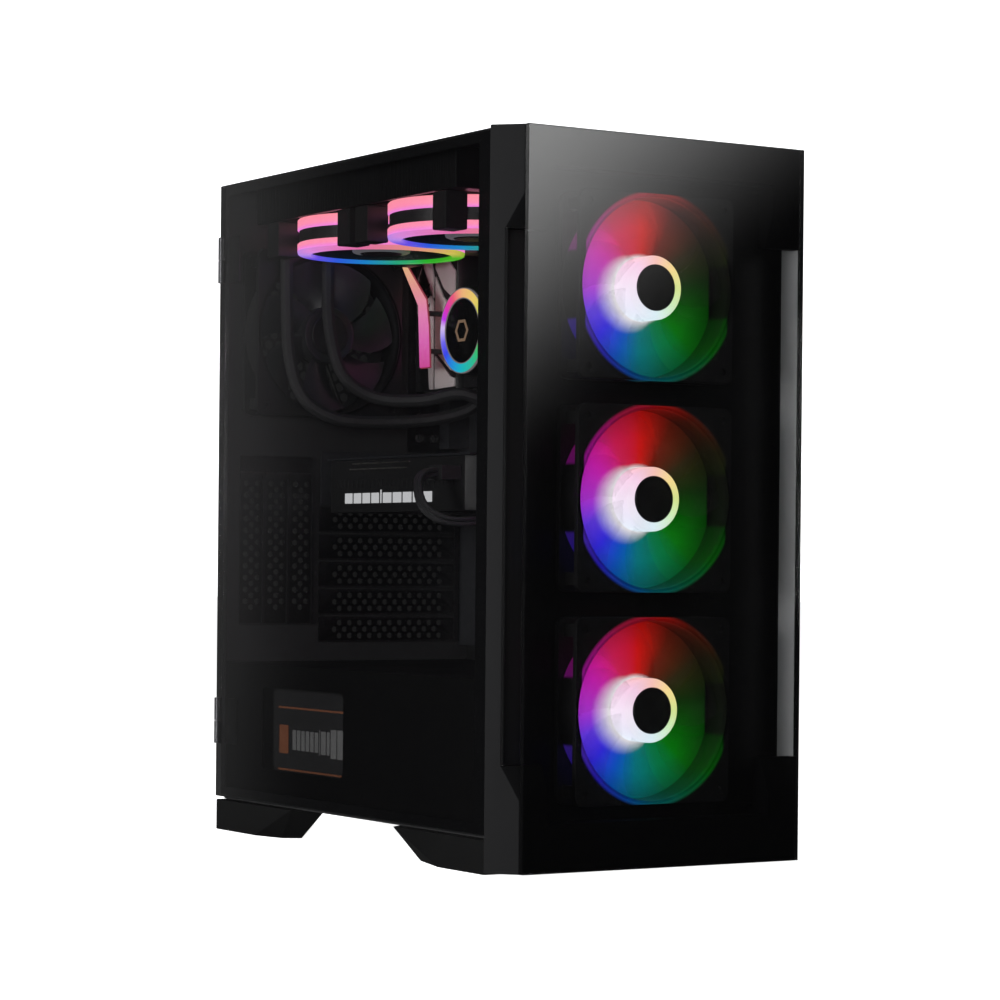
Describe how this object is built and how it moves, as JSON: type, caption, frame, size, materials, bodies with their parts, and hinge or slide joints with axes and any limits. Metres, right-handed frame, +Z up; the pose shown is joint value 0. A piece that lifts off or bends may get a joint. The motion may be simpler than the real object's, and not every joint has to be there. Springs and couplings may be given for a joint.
{
  "type": "desktop computer tower",
  "caption": "Mid-size desktop computer tower with a hinged glass side, glass front over lit fans, liquid cooling, power supply shroud and wedge feet.",
  "frame": {"origin": "on the floor under the middle of the tower's outer box", "axes": "+Z up, the front faces -Y, the glass door is on -X, +X is the steel side panel"},
  "size_m": [0.246, 0.396, 0.468],
  "materials": {
    "chassis_steel": "satin black powder coat",
    "panel_steel": "satin black powder coat, finer",
    "hardware_steel": "black zinc",
    "bezel_plastic": "satin moulded black",
    "foot_plastic": "textured moulded black",
    "front_glass": "smoked glass",
    "door_glass": "lightly smoked glass with a black printed border",
    "trim_grey": "light grey satin",
    "fan_frame": "moulded black",
    "lit_blade": "milky translucent, lit in several colours",
    "dark_blade": "moulded black",
    "silver_plate": "brushed",
    "light_bar": "lit diffuser",
    "hose_rubber": "sleeved black hose",
    "cooler_block": "black, fins and housings",
    "board_black": "black circuit board",
    "memory_dark": "anodised dark heat spreader",
    "supply_black": "black painted case",
    "filter_mesh": "fine black nylon mesh in a plastic frame"
  },
  "bodies": {
    "chassis": {"chassis_floor": "chassis_steel", "chassis_rear_wall": "chassis_steel", "chassis_top": "chassis_steel", "chassis_front_frame": "chassis_steel", "motherboard_tray": "chassis_steel", "psu_shroud": "chassis_steel", "foot_rear_left": "foot_plastic", "foot_rear_right": "foot_plastic", "foot_front_left": "foot_plastic", "foot_front_right": "foot_plastic", "slot_covers": "chassis_steel", "vertical_slot_covers": "chassis_steel", "chassis_hinge_upper": "hardware_steel", "chassis_hinge_lower": "hardware_steel", "front_fan_frame_1": "fan_frame", "front_fan_frame_2": "fan_frame", "front_fan_frame_3": "fan_frame", "rear_fan_frame": "fan_frame", "radiator_fan_frame_1": "fan_frame", "radiator_fan_frame_2": "fan_frame", "radiator": "cooler_block", "pump_head": "cooler_block", "coolant_tube_a": "hose_rubber", "coolant_tube_b": "hose_rubber", "motherboard": "board_black", "io_cover": "silver_plate", "light_bar": "light_bar", "memory_module_1": "memory_dark", "memory_module_2": "memory_dark", "graphics_card_shroud": "cooler_block", "graphics_card_board": "board_black", "graphics_power_cable": "hose_rubber", "psu_case": "supply_black", "io_panel": "bezel_plastic", "drive_cage": "chassis_steel"},
    "door": {"glass_door": "door_glass", "door_hinge_leaf_upper": "hardware_steel", "door_hinge_leaf_lower": "hardware_steel"},
    "right_panel": {"right_side_panel": "panel_steel", "thumbscrew_upper": "hardware_steel", "thumbscrew_lower": "hardware_steel"},
    "front_panel": {"front_bezel": "bezel_plastic", "front_glass": "front_glass", "intake_trim_left": "trim_grey", "intake_trim_right": "trim_grey"},
    "front_fan_1": {"front_fan_rotor_1": "lit_blade"},
    "front_fan_2": {"front_fan_rotor_2": "lit_blade"},
    "front_fan_3": {"front_fan_rotor_3": "lit_blade"},
    "rear_fan": {"rear_fan_rotor": "dark_blade"},
    "radiator_fan_1": {"radiator_fan_rotor_1": "lit_blade"},
    "radiator_fan_2": {"radiator_fan_rotor_2": "lit_blade"},
    "card_fan_1": {"graphics_card_fan_1": "dark_blade"},
    "card_fan_2": {"graphics_card_fan_2": "dark_blade"},
    "supply_fan": {"psu_fan": "dark_blade"},
    "supply_switch": {"psu_switch": "foot_plastic"},
    "power_key": {"power_button": "foot_plastic"},
    "reset_key": {"reset_button": "foot_plastic"},
    "roof_filter": {"top_filter": "filter_mesh"},
    "floor_filter": {"bottom_filter": "filter_mesh"},
    "sled": {"drive_sled": "fan_frame"}
  },
  "joints": [
    {"name": "door_hinge", "type": "hinge", "parent": "chassis", "child": "door", "pos_m": [-0.1202, 0.1956, 0.245], "axis": [0, 0, -1], "range_deg": [0, 105]},
    {"name": "right_panel_slide", "type": "slide", "parent": "chassis", "child": "right_panel", "axis": [0, 1, 0], "range_m": [0, 0.41]},
    {"name": "front_panel_pull", "type": "slide", "parent": "chassis", "child": "front_panel", "axis": [0, -1, 0], "range_m": [0, 0.06]},
    {"name": "front_fan_1_spin", "type": "hinge", "parent": "chassis", "child": "front_fan_1", "pos_m": [0, -0.1743, 0.3727], "axis": [0, -1, 0], "continuous": true},
    {"name": "front_fan_2_spin", "type": "hinge", "parent": "chassis", "child": "front_fan_2", "pos_m": [0, -0.1743, 0.2367], "axis": [0, -1, 0], "continuous": true},
    {"name": "front_fan_3_spin", "type": "hinge", "parent": "chassis", "child": "front_fan_3", "pos_m": [0, -0.1743, 0.1007], "axis": [0, -1, 0], "continuous": true},
    {"name": "rear_fan_spin", "type": "hinge", "parent": "chassis", "child": "rear_fan", "pos_m": [-0.046, 0.175, 0.3602], "axis": [0, -1, 0], "continuous": true},
    {"name": "radiator_fan_1_spin", "type": "hinge", "parent": "chassis", "child": "radiator_fan_1", "pos_m": [-0.045, 0.0937, 0.4224], "axis": [0, 0, -1], "continuous": true},
    {"name": "radiator_fan_2_spin", "type": "hinge", "parent": "chassis", "child": "radiator_fan_2", "pos_m": [-0.045, -0.0343, 0.4224], "axis": [0, 0, -1], "continuous": true},
    {"name": "card_fan_1_spin", "type": "hinge", "parent": "chassis", "child": "card_fan_1", "pos_m": [0.015, 0.1315, 0.2369], "axis": [0, 0, -1], "continuous": true},
    {"name": "card_fan_2_spin", "type": "hinge", "parent": "chassis", "child": "card_fan_2", "pos_m": [0.015, 0.0375, 0.2369], "axis": [0, 0, -1], "continuous": true},
    {"name": "supply_fan_spin", "type": "hinge", "parent": "chassis", "child": "supply_fan", "pos_m": [-0.03, 0.1095, 0.0395], "axis": [0, 0, -1], "continuous": true},
    {"name": "supply_switch_rock", "type": "hinge", "parent": "chassis", "child": "supply_switch", "pos_m": [-0.081, 0.186, 0.0905], "axis": [-1, 0, 0], "range_deg": [0, 19.4]},
    {"name": "power_button_press", "type": "slide", "parent": "chassis", "child": "power_key", "axis": [0, 0, -1], "range_m": [0, 0.0012], "stiffness_N_per_m": 1200},
    {"name": "reset_button_press", "type": "slide", "parent": "chassis", "child": "reset_key", "axis": [0, 0, -1], "range_m": [0, 0.0012], "stiffness_N_per_m": 900},
    {"name": "top_filter_lift", "type": "slide", "parent": "chassis", "child": "roof_filter", "axis": [0, 0, 1], "range_m": [0, 0.04]},
    {"name": "bottom_filter_slide", "type": "slide", "parent": "chassis", "child": "floor_filter", "axis": [0, 1, 0], "range_m": [0, 0.18]},
    {"name": "drive_sled_slide", "type": "slide", "parent": "chassis", "child": "sled", "axis": [1, 0, 0], "range_m": [0, 0.03]}
  ]
}
